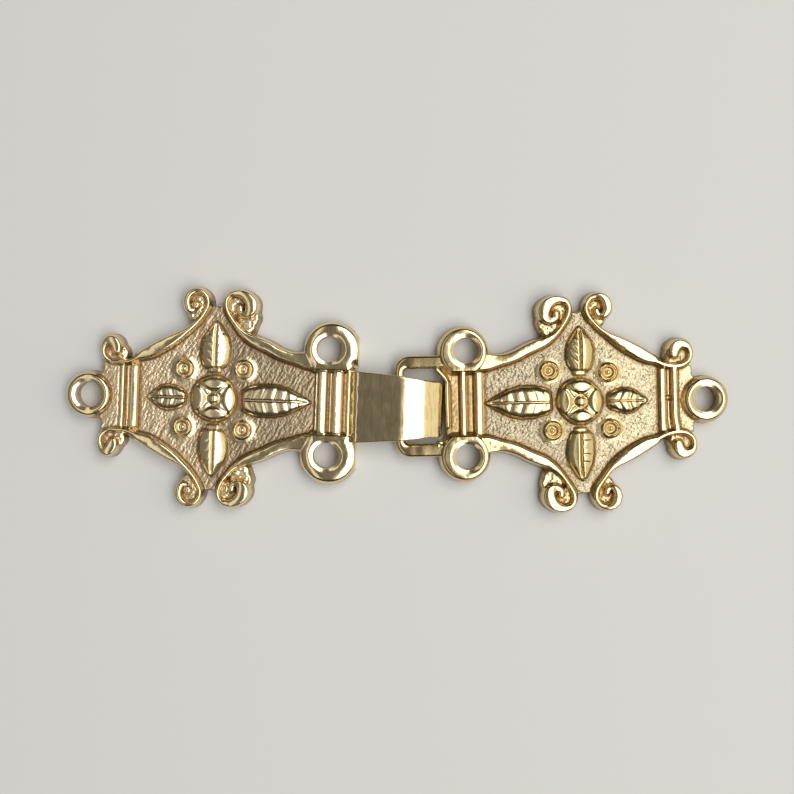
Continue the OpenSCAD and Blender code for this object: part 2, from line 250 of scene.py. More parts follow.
scrollsEye = {
    "outerBand": [
        (-1.3, 8.5, 0.2, 0.82), (-1.05, 9.15, 0.21, 0.88), (-1.1, 9.8, 0.22, 0.92),
        (-1.5, 10.35, 0.23, 0.96), (-2.1, 10.55, 0.26, 1.0), (-2.7, 10.4, 0.34, 1.05),
        (-3.1, 9.95, 0.42, 1.08), (-3.2, 9.35, 0.43, 1.05), (-3.0, 8.85, 0.36, 0.98),
        (-2.6, 8.6, 0.27, 0.88), (-2.25, 8.75, 0.24, 0.86), (-2.1, 9.1, 0.24, 0.9),
    ],
    "innerBand": [
        (1.3, 8.4, 0.2, 0.82), (1.0, 9.1, 0.22, 0.87), (1.0, 9.75, 0.23, 0.92),
        (1.3, 10.22, 0.24, 0.96), (1.85, 10.42, 0.28, 1.0), (2.5, 10.36, 0.38, 1.06),
        (3.1, 10.0, 0.5, 1.12), (3.48, 9.45, 0.57, 1.15), (3.5, 8.9, 0.5, 1.1),
        (3.15, 8.45, 0.38, 0.98), (2.65, 8.4, 0.3, 0.9), (2.3, 8.7, 0.27, 0.88),
        (2.3, 9.05, 0.26, 0.92),
    ],
    "endBand": [
        (-7.48, 3.96, 0.22, 0.76), (-8.18, 3.61, 0.2, 0.74), (-8.97, 3.39, 0.2, 0.74),
        (-9.77, 3.37, 0.2, 0.76), (-10.37, 3.56, 0.2, 0.78), (-10.83, 3.95, 0.2, 0.82),
        (-11.0, 4.55, 0.22, 0.86), (-10.86, 5.14, 0.26, 0.92), (-10.41, 5.5, 0.34, 0.96),
        (-9.84, 5.5, 0.44, 1.0), (-9.42, 5.14, 0.5, 1.0), (-9.34, 4.64, 0.42, 0.92),
    ],
    "shelves": [
        (-2.25, 8.3, 0.6), (-2.1, 9.45, 0.8), (2.3, 9.3, 1.0),
        (3.1, 8.1, 0.95), (3.15, 7.4, 0.6), (-9.3, 4.3, 0.6), (-10.2, 4.5, 0.7),
    ],
}

boss = {
    "radius": 2.4, "wall": 0.72, "slope": 0.17, "slopeFrom": 1.1, "padRise": 0.24, "padFrom": 0.78,
    "arm": 0.1, "armHalf": 0.13, "pearl": 0.55, "pearlRise": 0.26, "moat": 0.07, "moatHalf": 0.13,
}

dots = {
    "offset": 2.97, "mound": 1.5, "moundRise": 0.2, "lip": 0.77, "lipHalf": 0.17,
    "rise": 0.5, "cup": 0.08, "pip": 0.3, "pipRise": 0.3,
}
dotCentres = [(a * dots["offset"], b * dots["offset"]) for a in (-1, 1) for b in (-1, 1)]

# the short tabs between the boss and the upright leaves
tabs = {"rise": 0.32, "halfWidth": 0.72, "centre": 2.92, "halfLength": 0.36}

# half widths of a leaf from foot to tip, as shares of its widest, and where along it they are
leafAlong = [0, 0.08, 0.25, 0.45, 0.65, 0.82, 0.93, 1.0]
leafShapes = {
    "long": [0.62, 0.78, 0.97, 1.0, 0.82, 0.46, 0.2, 0.06],
    "upright": [0.6, 0.8, 0.97, 1.0, 0.86, 0.55, 0.3, 0.08],
    "bud": [0.5, 0.7, 0.9, 1.0, 0.86, 0.5, 0.25, 0.06],
}


def mirroredTable(points):
    return [(u, -v) for u, v in reversed(points)]


def railPaths(half):
    # the outer rail runs from the end scroll's curl to the side scroll's in one line
    bands = half["scrolls"]
    outer = list(reversed(bands["endBand"])) + outerRail + bands["outerBand"]
    return splinePath(outer, 4), splinePath(innerRail + bands["innerBand"], 4)


def warped(u, v, half):
    # the castings differ a little from one another: move measured places by small offsets
    su, sv, total = np.zeros_like(u), np.zeros_like(v), np.full_like(u, 0.06)
    for cu, cv, ou, ov, reach in half["offsets"]:
        w = np.exp(-(((u - cu) ** 2 + (v - cv) ** 2) / (2 * reach**2)))
        su += w * ou
        sv += w * ov
        total += w
    return u - su / total, v - sv / total


def outlineInside(u, v, half):
    # positive inside the casting's upper edge, before the holes are taken out
    wu, wv = warped(u, v, half)
    corners = plateEdge + mirroredTable(plateEdge)
    inside = np.minimum(polygonInside(wu, wv, corners), half["blockTo"] - u)
    k = plate["fillet"]
    av = np.abs(wv)
    for web in half["webs"]:
        inside = softMax(inside, polygonInside(u, v, web["corners"]), k)
    for cu, cv, r in half["scrolls"]["shelves"]:
        inside = softMax(inside, discInside(wu, av, cu, cv, r), k)
    for path in railPaths(half):
        inside = softMax(inside, bandAlong(wu, av, path, 0.6)[0], 0.5 * k)
    for bu, bv, r, _ in half["ringBodies"]:
        inside = softMax(inside, discInside(u, v, bu, bv, r), k)
    wave = layeredNoise(u, v, half["seed"], plate["outlineWaves"])
    return inside + wave + plate["flank"]


def holesInside(u, v):
    # positive outside every sewing hole
    clear = np.full(u.shape, 1e9)
    for cu, cv in rings["centres"]:
        clear = np.minimum(clear, np.hypot(u - cu, v - cv) - rings["hole"])
    return clear


def levelAt(u, v, half):
    # positive on the casting's metal
    return np.minimum(outlineInside(u, v, half), holesInside(u, v))


def leafRelief(u, v, leaf):
    # an arched leaf: blunt at its foot, pointed at its tip, grooved along its middle, with veins
    a = math.radians(leaf["angle"])
    x = u * math.cos(a) + v * math.sin(a)
    y = -u * math.sin(a) + v * math.cos(a) - leaf.get("shift", 0.0)
    s = (x - leaf["foot"]) / (leaf["tip"] - leaf["foot"])
    along = np.clip(s, 0, 1)
    shape = np.interp(along, leafAlong, leafShapes[leaf["shape"]])
    w = leaf["halfWidth"] * np.maximum(shape, 1e-3)
    t = y / w
    # steep at its edge, with gently sloping upper flanks
    body = dome(t, 5, 0.5) * (1 - 0.36 * np.clip(np.abs(t), 0, 1) ** 1.3)
    body = body * smooth(-0.03, 0.04, s) * smooth(1.02, 0.94, s)
    crest = np.interp(along, [0, 0.3, 0.7, 1], [0.86, 1.0, 0.9, 0.5])
    h = leaf["rise"] * crest * body
    groove = np.exp(-((y / leaf["grooveWidth"]) ** 2)) * smooth(1.0, 0.85, s)
    h -= leaf["groove"] * groove * body
    side = np.sign(y)
    for where in leaf["veins"]:
        slant = leaf["slant"] * (1 - 0.25 * where)
        line = x - (leaf["foot"] + where * (leaf["tip"] - leaf["foot"])) - slant * np.abs(y)
        line = line + leaf.get("stagger", 0.0) * (side > 0)
        away = np.abs(line) / leaf["veinWidth"]
        cut = np.clip(1 - away, 0, 1) ** 2 if leaf.get("pads") else np.exp(-(away**2))
        deep = np.where(side > 0, leaf["veinDepth"][0], leaf["veinDepth"][1])
        h -= deep * cut * body * smooth(0.02, 0.2, np.abs(t))
    return np.where((s > -0.03) & (s < 1.02) & (np.abs(t) < 1), np.maximum(h, 0), 0)


def bossRelief(u, v):
    # four petals that slope down to the rim, round a pearl, with an arm on each diagonal
    r = np.hypot(u, v)
    size = boss["radius"]
    body = boss["wall"] * dome(r / size, 9, 0.5)
    body = body - boss["slope"] * np.maximum(r - boss["slopeFrom"], 0)
    corner = size * math.cos(math.radians(45))
    padR = ((corner - boss["padFrom"]) ** 2 + corner**2) / (2 * (corner - boss["padFrom"]))
    centre = boss["padFrom"] + padR
    pad = np.full(u.shape, -1e9)
    for du, dv in ((1, 0), (-1, 0), (0, 1), (0, -1)):
        pad = np.maximum(pad, padR - np.hypot(u - centre * du, v - centre * dv))
    body = body + boss["padRise"] * smooth(-0.05, 0.42, pad) * smooth(2.42, 2.1, r)
    across = np.abs(np.abs(u) - np.abs(v)) / math.sqrt(2)
    arm = boss["arm"] * np.exp(-((across / boss["armHalf"]) ** 2))
    arm = arm * smooth(0.5, 0.9, r) * smooth(2.3, 1.9, r)
    pearl = boss["pearlRise"] * dome(r / boss["pearl"], 2.0, 0.7)
    moat = boss["moat"] * np.exp(-(((r - boss["pearl"] - 0.1) / boss["moatHalf"]) ** 2))
    body = body + np.maximum(arm, pearl) - moat
    return np.where(r < size, np.maximum(body, 0), 0)


def dotRelief(u, v, cu, cv):
    # a cup with a thin lip on a low mound, and a pip in the cup
    r = np.hypot(u - cu, v - cv)
    lip, floor = dots["lip"], dots["cup"]
    mound = dots["moundRise"] * np.clip((dots["mound"] - r) / (dots["mound"] - lip), 0, 1)
    rim = dots["rise"] * dome((r - lip) / dots["lipHalf"], 2, 0.6)
    cup = floor + (dots["rise"] - floor) * 0.7 * np.clip(r / lip, 0, 1) ** 2.5
    pip = floor + dots["pipRise"] * dome(r / dots["pip"], 2, 0.6)
    return np.where(r < lip, np.maximum(np.maximum(cup, pip), rim), np.maximum(mound, rim))


def cutLines(u, v, spec):
    # short engraved strokes scattered over the field
    rng = np.random.default_rng(spec["seed"])
    out = np.zeros_like(u)
    for _ in range(spec["count"]):
        cu, cv = rng.uniform(-7.4, 10), rng.uniform(-8.6, 8.6)
        angle, spread = spec["angles"][rng.integers(len(spec["angles"]))]
        a = math.radians(rng.normal(angle, spread))
        half = rng.uniform(*spec["length"]) / 2
        deep, wide = rng.uniform(*spec["depth"]), rng.uniform(*spec["width"])
        du, dv = half * math.cos(a), half * math.sin(a)
        near = np.nonzero(
            (np.abs(u - cu) < abs(du) + 3 * wide) & (np.abs(v - cv) < abs(dv) + 3 * wide)
        )[0]
        if not len(near):
            continue
        x = (u[near] - cu) * math.cos(a) + (v[near] - cv) * math.sin(a)
        y = -(u[near] - cu) * math.sin(a) + (v[near] - cv) * math.cos(a)
        out[near] += deep * np.exp(-((y / wide) ** 2)) * smooth(half, half * 0.55, np.abs(x))
    return np.clip(out, -0.12, 0.12)


def upperSurface(u, v, half, inside):
    wu, wv = warped(u, v, half)
    av = np.abs(wv)
    base, low, high = plate["field"], half["fieldFrom"], half["fieldTo"]
    field = smooth(low - 0.05, low + 0.1, wu) * smooth(high + 0.05, high - 0.1, wu)
    z = np.full_like(u, base) - cutLines(wu, wv, half["strokes"]) * field
    skin = [(half["sand"], 0.16, 4)] + plate["skin"]
    z += layeredNoise(u, v, half["seed"], skin) * (0.35 + 0.65 * field)
    # end blocks step up from the field, with a groove at their foot
    inBlock = smooth(high, high + 0.14, wu)
    outBlock = smooth(low, low - 0.14, wu)
    z += (half["innerLevel"] - base) * inBlock + (half["outerLevel"] - base) * outBlock
    groove = plate["grooveDepth"]
    z -= groove * np.exp(-(((wu - high + 0.12) / 0.1) ** 2))
    for bu, w, rise, reach in half["bars"]:
        d = (wu - bu) / w
        ends = smooth(reach + 0.12, reach - 0.12, av)
        level = half["innerLevel"] if bu > 0 else half["outerLevel"]
        top = base + rise - (half["lean"] * d + 0.1 * d * d) * w
        bar = level + (top - level) * dome(d, 8, 0.5)
        z = z - groove * np.exp(-(((np.abs(wu - bu) - w - 0.08) / 0.09) ** 2)) * ends
        z = np.where(np.abs(d) < 1, np.maximum(z, level + (bar - level) * ends), z)
    for web in half["webs"]:
        level = web["level"] + web["slope"] * (u - 13.2)
        near = polygonInside(u, v, web["corners"]) > -0.25
        z = np.where(near, np.maximum(z, level), z)
        rib = bandAlong(u, v, web["rib"])[1]
        z = softMax(z, np.where(rib > 0, base + rib, 0), 0.05)
    # low rough shelves inside and below the scroll bands
    grains = layeredNoise(u, v, half["seed"], plate["shelfGrain"])
    for cu, cv, r in half["scrolls"]["shelves"]:
        d = np.hypot(wu - cu, av - cv)
        shelf = base + (plate["shelf"] - base) * smooth(r + 0.25, r - 0.05, d) + grains
        z = np.where(d < r + 0.25, np.maximum(z, shelf), z)
    # relief of the field
    relief = bossRelief(wu, wv)
    for leaf in half["leaves"]:
        relief = np.maximum(relief, leafRelief(wu, wv, leaf))
    for cu, cv in dotCentres:
        relief = np.maximum(relief, dotRelief(wu, wv, cu, cv))
    for y in (wv, -wv):
        tab = tabs["rise"] * dome(wu / tabs["halfWidth"], 6, 1)
        tab = tab * dome((y - tabs["centre"]) / tabs["halfLength"], 4, 1)
        relief = np.maximum(relief, tab)
    z = softMax(z, base + relief - 0.02, 0.04)
    # rails and scroll bands
    for path in railPaths(half):
        rail = bandAlong(wu, av, path)[1]
        z = softMax(z, np.where(rail > 0, base + rail, 0), 0.05)
    # sewing rings, flat on top, with rounded shoulders and a countersunk mouth
    for (cu, cv), (bu, bv, r, shoulder) in zip(rings["centres"], half["ringBodies"]):
        d = np.hypot(u - cu, v - cv)
        b = discInside(u, v, bu, bv, r)
        if cv:
            b = np.minimum(b, np.abs(v) - rings["blockEdge"])
        roll = np.clip((rings["rollFrom"] - b) / rings["rollWidth"], 0, 2)
        ring = rings["top"] - rings["shoulderDrop"] * np.clip(shoulder - b, 0, 2) ** 2 / shoulder
        ring = ring - rings["rollDrop"] * roll**2.2
        z = np.where(b > -0.4, softMax(z, ring, 0.06), z)
        away = (d - rings["hole"]) / rings["mouth"]
        bevel = rings["top"] - rings["mouthDrop"] * (1 - np.clip(away, 0, 1))
        bevel = bevel + 0.5 * smooth(1.0, 1.6, away)
        z = np.where(d < rings["hole"] + 1.6 * rings["mouth"], softMin(z, bevel, 0.05), z)
    for pu, pv, r, deep in half["pits"]:
        z -= deep * dome(np.hypot(u - pu, v - pv) / r, 3, 0.8)
    z += layeredNoise(u, v, half["seed"], plate["swell"])
    # the outer edge is rounded over
    e = plate["roundEdge"]
    t = np.clip(inside, 0, e)
    return z - (e - np.sqrt(np.clip(e * e - (e - t) ** 2, 0, None)))


def blurred(grid, cells):
    reach = int(3 * cells)
    kernel = np.exp(-0.5 * (np.arange(-reach, reach + 1) / cells) ** 2)
    kernel /= kernel.sum()
    for axis in (0, 1):
        grid = np.apply_along_axis(lambda row: np.convolve(row, kernel, mode="same"), axis, grid)
    return grid


def toneMaps(half, step=0.1):
    # how deep a place lies among its surroundings (hollows darkened as patina and painted shade), where
    # the matte field is, what is filed
    us, vs = np.arange(-15.4, 15.0, step), np.arange(-11.8, 11.8, step)
    u, v = gridPoints(us, vs)
    shape = len(us), len(vs)
    inside = levelAt(u, v, half)
    z = np.where(inside > 0, upperSurface(u, v, half, np.maximum(inside, 0)), 0).reshape(shape)
    near, wide = blurred(z, 1.6), blurred(z, 4.5)
    # darker in hollows, near and wide: partly patina, partly painted shade
    patinaAndShade = np.clip((near - z) / 0.12, 0, 1) * 0.7 + np.clip((wide - z) / 0.35, 0, 1) * 0.4
    wu, wv = warped(u, v, half)
    low, high = half["fieldFrom"], half["fieldTo"]
    matte = smooth(low - 0.1, low + 0.2, wu) * smooth(high + 0.1, high - 0.2, wu)
    block = smooth(low - 1.6, low - 1.9, wu) * 0.8
    level = z.ravel() - plate["field"]
    matte = np.maximum(matte * smooth(0.2, 0.06, level), block * smooth(0.5, 0.4, level))
    # the dots' mounds are polished, the rails filed, and the low ground between the bars is darkened
    # with painted shade
    filed = np.zeros_like(u)
    for cu, cv in dotCentres:
        matte = matte * smooth(1.0, 1.5, np.hypot(wu - cu, wv - cv))
    for path in railPaths(half):
        filed = np.maximum(filed, 0.7 * (bandAlong(wu, np.abs(wv), path)[1] > 0.55))
    for bu, bv, r, _ in half["ringBodies"]:
        filed = np.maximum(filed, 0.8 * (discInside(u, v, bu, bv, r) > 0) * (level > 0.7))
    # painted shade between the bars, added to the hollows' darkening
    between = smooth(high + 0.1, high + 0.3, wu) * smooth(0.5, 0.35, level) * (np.abs(wv) < 3.4)
    patinaAndShade = np.maximum(patinaAndShade, 0.75 * between.reshape(shape))
    matte, filed = matte.reshape(shape), filed.reshape(shape)
    return (us, vs), {"top": z, "patinaAndShade": patinaAndShade, "matte": matte, "filed": filed}


def lookUp(axes, grid, u, v):
    us, vs = axes
    step = us[1] - us[0]
    x = np.clip((u - us[0]) / step, 0, len(us) - 1.001)
    y = np.clip((v - vs[0]) / step, 0, len(vs) - 1.001)
    i, j = x.astype(int), y.astype(int)
    fx, fy = x - i, y - j
    return (grid[i, j] * (1 - fx) + grid[i + 1, j] * fx) * (1 - fy) + (
        grid[i, j + 1] * (1 - fx) + grid[i + 1, j + 1] * fx
    ) * fy


# The grid mesh of one casting


def castingMesh(half, step=0.075):
    us, vs = np.arange(-15.3, 14.3, step), np.arange(-11.6, 11.6, step)
    shape = len(us), len(vs)
    pu, pv = gridPoints(us, vs)
    level = levelAt(pu, pv, half)
    # nodes close to the edge are moved onto it, so no sliver faces arise
    snap = np.abs(level) < 0.28 * step
    near, d = np.nonzero(snap)[0], 0.01
    for _ in range(3):
        f = levelAt(pu[near], pv[near], half)
        gx = (levelAt(pu[near] + d, pv[near], half) - f) / d
        gy = (levelAt(pu[near], pv[near] + d, half) - f) / d
        g2 = np.maximum(gx * gx + gy * gy, 0.2)
        pu[near] -= f * gx / g2
        pv[near] -= f * gy / g2
    # state of a node: 0 outside, 1 on the edge, 2 inside
    state = np.where(snap, 1, np.where(level > 0, 2, 0)).reshape(shape)
    level = level.reshape(shape)
    ids = -np.ones(shape, int)
    points, cells, cuts = [], [], {}

    def nodeId(i, j):
        if ids[i, j] < 0:
            ids[i, j] = len(points)
            k = i * shape[1] + j
            points.append((pu[k], pv[k]))
        return ids[i, j]

    def cutId(i, j, i2, j2):
        key = (i, j, i2, j2) if (i, j) < (i2, j2) else (i2, j2, i, j)
        if key not in cuts:
            i, j, i2, j2 = key
            a, b = level[i, j], level[i2, j2]
            t = a / (a - b)
            cuts[key] = len(points)
            points.append((us[i] + t * (us[i2] - us[i]), vs[j] + t * (vs[j2] - vs[j])))
        return cuts[key]

    corners = [state[:-1, :-1], state[1:, :-1], state[1:, 1:], state[:-1, 1:]]
    full = np.all([c > 0 for c in corners], axis=0)
    touched = np.any([c == 2 for c in corners], axis=0)
    for i, j in zip(*np.nonzero(touched)):
        ring = ((i, j), (i + 1, j), (i + 1, j + 1), (i, j + 1))
        if full[i, j]:
            cells.append([nodeId(*c) for c in ring])
            continue
        poly = []
        for k in range(4):
            c, n = ring[k], ring[(k + 1) % 4]
            sc, sn = state[c], state[n]
            if sc > 0:
                poly.append(nodeId(*c))
            if (sc == 2 and sn == 0) or (sc == 0 and sn == 2):
                poly.append(cutId(*c, *n))
        if len(poly) >= 3:
            cells.append(poly)
    return np.array(points), cells


def edgeLoops(cells):
    # the closed rows of edges that only one cell has, longest first
    used = {}
    for poly in cells:
        for a, b in zip(poly, poly[1:] + poly[:1]):
            used[(a, b)] = True
    follow = {}
    for a, b in used:
        if (b, a) not in used:
            follow.setdefault(a, []).append(b)
    loops = []
    while follow:
        start = next(iter(follow))
        loop, at = [], start
        while True:
            nxt = follow[at].pop()
            if not follow[at]:
                del follow[at]
            loop.append(at)
            at = nxt
            if at == start:
                break
        loops.append(loop)
    return sorted(loops, key=len, reverse=True)


def wallField(half, step=0.05):
    # the distance to the outline, blurred a little: walls drawn down along it never cross
    us, vs = np.arange(-15.9, 14.9, step), np.arange(-12.3, 12.3, step)
    level = outlineInside(*gridPoints(us, vs), half).reshape(len(us), len(vs))
    level = blurred(level, 2.4)
    alongU, alongV = np.gradient(level, step)
    return (us, vs), level, alongU, alongV


def castingBody(half):
    # the relief on top, walls that follow the outline down, and a flat back
    points, faces = castingMesh(half)
    u, v = points[:, 0], points[:, 1]
    z = upperSurface(u, v, half, np.maximum(outlineInside(u, v, half), 0))
    verts = list(zip(u, v, z))
    loops = edgeLoops(faces)
    foot = []
    axes, level, alongU, alongV = wallField(half)
    for loop in loops:
        pu, pv, pz = u[loop], v[loop], z[loop]
        start = lookUp(axes, level, pu, pv)
        last, n = loop, len(loop)
        for f in plate["wallStages"]:
            if n == len(loops[0]):
                for _ in range(6):
                    gx, gy = lookUp(axes, alongU, pu, pv), lookUp(axes, alongV, pu, pv)
                    steep = np.maximum(np.hypot(gx, gy), 1e-6)
                    left = lookUp(axes, level, pu, pv) - start + plate["draft"] * f
                    move = np.clip(left, -0.02, 0.03) * np.clip(steep / 0.7, 0, 1) ** 2
                    pu, pv = pu - move * gx / steep, pv - move * gy / steep
                pu = (np.roll(pu, 1) + 2 * pu + np.roll(pu, -1)) / 4
                pv = (np.roll(pv, 1) + 2 * pv + np.roll(pv, -1)) / 4
            ring = list(range(len(verts), len(verts) + n))
            verts += zip(pu, pv, pz * (1 - f))
            for i in range(n):
                faces.append([last[i], ring[i], ring[(i + 1) % n], last[(i + 1) % n]])
            last = ring
        foot.append(last)
    footIds = [i for loop in foot for i in loop]
    coords = [Vector(verts[i][:2]) for i in footIds]
    rims, at = [], 0
    for loop in foot:
        rims.append(list(range(at, at + len(loop))))
        at += len(loop)
    edges = [pair for rim in rims for pair in zip(rim, rim[1:] + rim[:1])]
    made, _, tris, origins, _, _ = delaunay_2d_cdt(coords, edges, rims, 2, 1e-7)
    back = []
    for point, origin in zip(made, origins):
        if origin:
            back.append(footIds[origin[0]])
        else:
            back.append(len(verts))
            verts.append((point.x, point.y, 0.0))
    faces += [[back[i] for i in reversed(t)] for t in tris]
    return np.array(verts), faces


leavesHook = [
    {
        "angle": 0, "foot": 2.85, "tip": 9.75, "halfWidth": 1.72, "rise": 0.78, "shape": "long",
        "groove": 0.18, "grooveWidth": 0.14, "veins": [0.14, 0.31, 0.48, 0.64, 0.78], "slant": 0.3,
        "veinWidth": 0.5, "veinDepth": (0.05, 0.06), "shift": -0.05, "stagger": 0.2, "pads": True,
    },
    {
        "angle": 90, "foot": 3.05, "tip": 7.75, "halfWidth": 1.6, "rise": 0.86, "shape": "upright",
        "groove": 0.22, "grooveWidth": 0.14, "veins": [0.12, 0.3, 0.47, 0.66], "slant": 0.6,
        "veinWidth": 0.13, "veinDepth": (0.07, 0.03),
    },
    {
        "angle": -90, "foot": 3.05, "tip": 7.85, "halfWidth": 1.55, "rise": 0.86, "shape": "upright",
        "groove": 0.22, "grooveWidth": 0.13, "veins": [0.2, 0.4, 0.6], "slant": 0.6,
        "veinWidth": 0.12, "veinDepth": (0.01, 0.06),
    },
    {
        "angle": 180, "foot": 2.8, "tip": 6.75, "halfWidth": 1.4, "rise": 0.76, "shape": "bud",
        "groove": 0.22, "grooveWidth": 0.14, "veins": [0.3, 0.56, 0.8], "slant": 0.3,
        "veinWidth": 0.48, "veinDepth": (0.1, 0.09), "stagger": 0.12, "pads": True,
    },
]
leavesEye = [
    {
        "angle": 0, "foot": 2.85, "tip": 9.5, "halfWidth": 1.72, "rise": 0.82, "shape": "long",
        "groove": 0.18, "grooveWidth": 0.12, "veins": [0.1, 0.26, 0.43, 0.6, 0.76], "slant": 0.3,
        "veinWidth": 0.48, "veinDepth": (0.06, 0.05), "stagger": 0.25, "pads": True,
    },
    {
        "angle": 90, "foot": 3.05, "tip": 7.6, "halfWidth": 1.5, "rise": 0.86, "shape": "upright",
        "groove": 0.26, "grooveWidth": 0.12, "veins": [0.15, 0.32, 0.5, 0.68], "slant": 0.8,
        "veinWidth": 0.13, "veinDepth": (0.0, 0.075), "shift": 0.1,
    },
    {
        "angle": -90, "foot": 3.0, "tip": 7.9, "halfWidth": 1.5, "rise": 0.86, "shape": "upright",
        "groove": 0.26, "grooveWidth": 0.12, "veins": [0.14, 0.3, 0.46, 0.62], "slant": 0.1,
        "veinWidth": 0.14, "veinDepth": (0.0, 0.095),
    },
    {
        "angle": 180, "foot": 2.75, "tip": 6.8, "halfWidth": 1.4, "rise": 0.76, "shape": "bud",
        "groove": 0.22, "grooveWidth": 0.11, "veins": [0.25, 0.5, 0.74], "slant": 0.5,
        "veinWidth": 0.46, "veinDepth": (0.09, 0.09), "pads": True,
    },
]

# sand is the height of the cast skin's grain, lean the slope across the bars' tops
castings = {
    "hook": {
        "seed": 11, "fieldFrom": -7.75, "fieldTo": 10.02, "blockTo": 13.45,
        "innerLevel": 1.66, "outerLevel": 1.55, "sand": 0.018, "lean": 0.12,
        # the metal round each sewing hole: u, v, radius, width of its rounded shoulder
        "ringBodies": [(-12.45, 0, 2.12, 0.5), (11.65, 5.2, 2.7, 0.95), (11.65, -5.2, 2.75, 0.95)],
        # a lump left on the lower ring's shoulder
        "webs": [
            {
                "corners": [(13.4, -3.6), (14.6, -3.8), (15.0, -4.15), (14.8, -4.6), (13.4, -4.8)],
                "level": 1.95, "slope": -0.1,
                "rib": [(14.9, -4.3, 0.2, 0.78), (14.5, -4.1, 0.24, 0.82)],
            },
        ],
        "bars": [  # u, half width, height over the field, half length
            (-7.95, 0.44, 0.84, 3.12), (-9.15, 0.24, 0.66, 3.12),
            (10.82, 0.48, 0.96, 3.15), (12.36, 0.48, 0.96, 3.15), (13.45, 0.16, 0.75, 3.3),
        ],
        # where a place really lies: u, v, moved by u, v, reach
        "offsets": [
            (-2.2, 9.6, 0.26, 0.08, 1.1), (2.5, 9.4, -0.05, 0.1, 1.1),
            (-2.2, -9.6, 0.02, 0.0, 1.1), (2.5, -9.4, -0.3, 0.08, 1.1),
            (-10.2, 4.6, 0.0, 0.0, 0.9), (-10.2, -4.6, -0.1, -0.12, 0.9),
            (-2.97, 2.97, -0.11, -0.08, 0.8), (2.97, 2.97, -0.12, 0.03, 0.8),
            (-2.97, -2.97, -0.13, 0.05, 0.8), (2.97, -2.97, -0.08, -0.1, 0.8),
        ],
        "scrolls": scrollsHook,
        "leaves": leavesHook,
        "strokes": {
            "seed": 3, "count": 620, "angles": [(58, 9), (62, 8), (46, 10), (66, 22)],
            "length": (0.5, 2.0), "depth": (0.005, 0.055), "width": (0.055, 0.095),
        },
        "pits": [(14.0, 3.95, 0.36, 0.6)],
    },
    "eye": {
        "seed": 23, "fieldFrom": -7.75, "fieldTo": 9.65, "blockTo": 13.25,
        "innerLevel": 1.42, "outerLevel": 1.5, "sand": 0.03, "lean": -0.1,
        "ringBodies": [(-12.45, 0, 2.12, 0.5), (11.6, 5.15, 2.36, 0.42), (11.6, -5.2, 2.4, 0.45)],
        # thickened corners between the loop's arms and the block; the ribs' rows are as the rails'
        "webs": [
            {
                "corners": [(13.0, 2.5), (13.45, 2.5), (15.05, 4.2), (15.05, 4.45), (13.0, 4.45)],
                "level": 1.5, "slope": 0.0,
                "rib": [
                    (13.3, 2.1, 0.2, 0.78), (13.5, 2.62, 0.2, 0.8), (14.2, 3.37, 0.22, 0.82),
                    (14.85, 4.05, 0.24, 0.76), (15.1, 4.3, 0.2, 0.68),
                ],
            },
            {
                "corners": [(13.0, -5.0), (15.0, -4.95), (15.0, -4.3), (14.1, -3.82), (13.0, -3.82)],
                "level": 1.72, "slope": 0.12,
                "rib": [(14.9, -4.75, 0.2, 0.68), (14.2, -4.1, 0.2, 0.7)],
            },
        ],
        "bars": [
            (-8.2, 0.34, 0.7, 3.2), (-9.42, 0.3, 0.72, 3.2),
            (10.1, 0.42, 0.9, 3.2), (11.65, 0.29, 0.88, 3.2), (13.3, 0.24, 0.8, 2.4),
        ],
        "offsets": [
            (-2.2, 9.6, 0.4, -0.08, 1.1), (2.5, 9.4, 0.0, -0.25, 1.1),
            (-2.2, -9.6, -0.36, 0.0, 1.1), (2.5, -9.4, -0.19, -0.2, 1.1),
            (-10.2, 4.6, 0.0, 0.0, 0.9), (-10.2, -4.6, -0.3, 0.2, 0.9),
            (-2.97, 2.97, 0.11, -0.11, 0.8), (2.97, 2.97, 0.07, 0.16, 0.8),
            (-2.97, -2.97, -0.08, 0.24, 0.8), (2.97, -2.97, -0.21, 0.12, 0.8),
        ],
        "scrolls": scrollsEye,
        "leaves": leavesEye,
        "strokes": {
            "seed": 4, "count": 800, "angles": [(60, 25), (150, 25)],
            "length": (0.2, 0.8), "depth": (-0.025, 0.045), "width": (0.06, 0.1),
        },
        "pits": [(-8.82, 0.2, 0.3, 0.25)],
    },
}

# The hook's strap: side view and plan, in the hook half's frame
strap = {
    "rootX": 13.0, "rootTop": 1.5, "rootBottom": 1.1,
    "rise": [
        (13.4, 1.85), (13.72, 2.3), (14.02, 2.74), (14.18, 2.85), (14.4, 2.885),
        (15.2, 2.935), (16.0, 2.99),
    ],
    "underside": [(16.5, 1.95), (14.6, 1.72), (13.6, 1.4)],
    "barX": 18.53, "top": 3.11, "thickness": 1.0, "noseX": 22.88, "noseZ": 1.32, "turnX": 21.2,
    "lipTop": 0.75, "lipBottom": 0.05, "lipTo": 19.6, "lipRound": 0.35, "edge": 0.16, "shift": -0.35,
    "widths": [(13.0, 3.62), (14.0, 3.58), (16.0, 3.42), (18.5, 3.22), (20.4, 3.0), (21.9, 2.78)],
    "corner": 0.42, "rough": 0.05, "wave": 0.006, "lineDepth": 0.02, "lineHalf": 0.08,
    "around": 230, "across": 41,
}


def ovalPoints(cx, cz, rx, rz, start, end, count):
    angles = np.radians(np.linspace(start, end, count))
    return [(cx + rx * math.cos(a), cz + rz * math.sin(a)) for a in angles]


def rowFaces(rows, count, turned=False):
    # quads between closed rows of points, with a cap on the first row and on the last
    faces = []
    for r in range(rows - 1):
        for i in range(count):
            a, b = r * count + i, r * count + (i + 1) % count
            faces.append([a, a + count, b + count, b] if turned else [a, b, b + count, a + count])
    first, last = list(range(count)), list(range((rows - 1) * count, rows * count))
    return faces + ([first, last[::-1]] if turned else [first[::-1], last])


